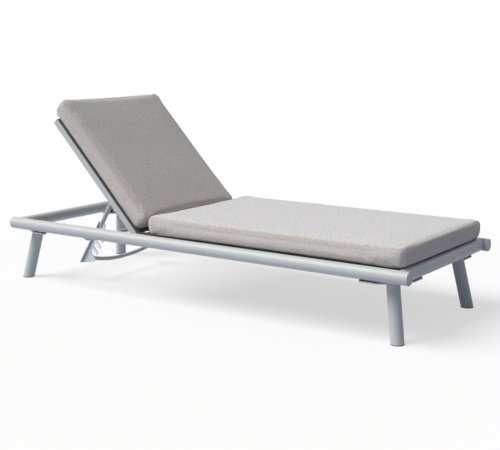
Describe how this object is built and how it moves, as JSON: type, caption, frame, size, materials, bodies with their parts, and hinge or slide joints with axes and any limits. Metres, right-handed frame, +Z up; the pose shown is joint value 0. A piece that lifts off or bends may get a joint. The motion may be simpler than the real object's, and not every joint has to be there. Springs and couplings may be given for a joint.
{
  "type": "adjustable sun lounger",
  "caption": "Low tubular sun lounger on splayed legs, with a sling deck, a hinged back held by a notched swinging prop, and boxed seat and back cushions.",
  "frame": {"origin": "on the floor, under the middle of the frame's length and width", "axes": "+X towards the foot end, +Z up; the lying person's right side is -Y"},
  "size_m": [1.95, 0.7648, 0.8127],
  "materials": {
    "powder_coat": "fine satin powder coat",
    "rack_coat": "smooth light coat",
    "dark_plastic": "moulded",
    "steel": "plain stainless",
    "sling_fabric": "open PVC-coated weave",
    "cushion_fabric": "heathered twill"
  },
  "bodies": {
    "frame": {"side_rail_right": "powder_coat", "side_rail_left": "powder_coat", "rail_end_caps": "powder_coat", "head_cross_tube": "powder_coat", "foot_cross_tube": "powder_coat", "corner_plate_foot_right": "powder_coat", "corner_plate_foot_left": "powder_coat", "corner_plate_head_right": "powder_coat", "corner_plate_head_left": "powder_coat", "leg_foot_right": "powder_coat", "leg_foot_left": "powder_coat", "leg_head_right": "powder_coat", "leg_head_left": "powder_coat", "leg_glide_foot_right": "dark_plastic", "leg_glide_foot_left": "dark_plastic", "leg_glide_head_right": "dark_plastic", "leg_glide_head_left": "dark_plastic", "plate_spacers": "dark_plastic", "plate_screws": "steel", "rail_inserts": "steel", "deck_profile_right": "powder_coat", "deck_profile_left": "powder_coat", "deck_bar_rear": "powder_coat", "deck_bar_mid_rear": "powder_coat", "deck_bar_mid_foot": "powder_coat", "deck_bar_foot": "powder_coat", "deck_profile_caps": "dark_plastic", "deck_spacers": "dark_plastic", "deck_screws": "steel", "seat_sling": "sling_fabric", "seat_sling_beads": "dark_plastic", "hinge_boss_right": "powder_coat", "hinge_boss_left": "powder_coat", "hinge_pin_right": "steel", "hinge_pin_left": "steel", "catch_bow": "powder_coat", "seat_cushion": "cushion_fabric"},
    "back": {"back_stile_right": "powder_coat", "back_stile_left": "powder_coat", "back_stile_caps": "dark_plastic", "back_bar_bottom": "powder_coat", "back_bar_prop": "powder_coat", "back_bar_top": "powder_coat", "back_sling": "sling_fabric", "back_sling_beads": "dark_plastic", "hinge_bushes": "dark_plastic", "prop_lugs": "powder_coat", "prop_pivot_pins": "steel", "back_cushion": "cushion_fabric"},
    "prop": {"prop_strut_right": "powder_coat", "prop_strut_left": "powder_coat", "prop_rack_right": "rack_coat", "prop_rack_left": "rack_coat", "prop_bow": "powder_coat", "prop_bushes": "dark_plastic"}
  },
  "joints": [
    {"name": "back_hinge", "type": "hinge", "parent": "frame", "child": "back", "pos_m": [-0.293, 0, 0.2622], "axis": [0, -1, 0], "range_deg": [0, 43.7]},
    {"name": "prop_hinge", "type": "hinge", "parent": "back", "child": "prop", "pos_m": [-0.48734, 0, 0.42449], "axis": [0, 1, 0], "range_deg": [0, 87.4]}
  ],
  "couplings": [
    {"joint": "prop_hinge", "follows": "back_hinge", "ratio": 2}
  ]
}
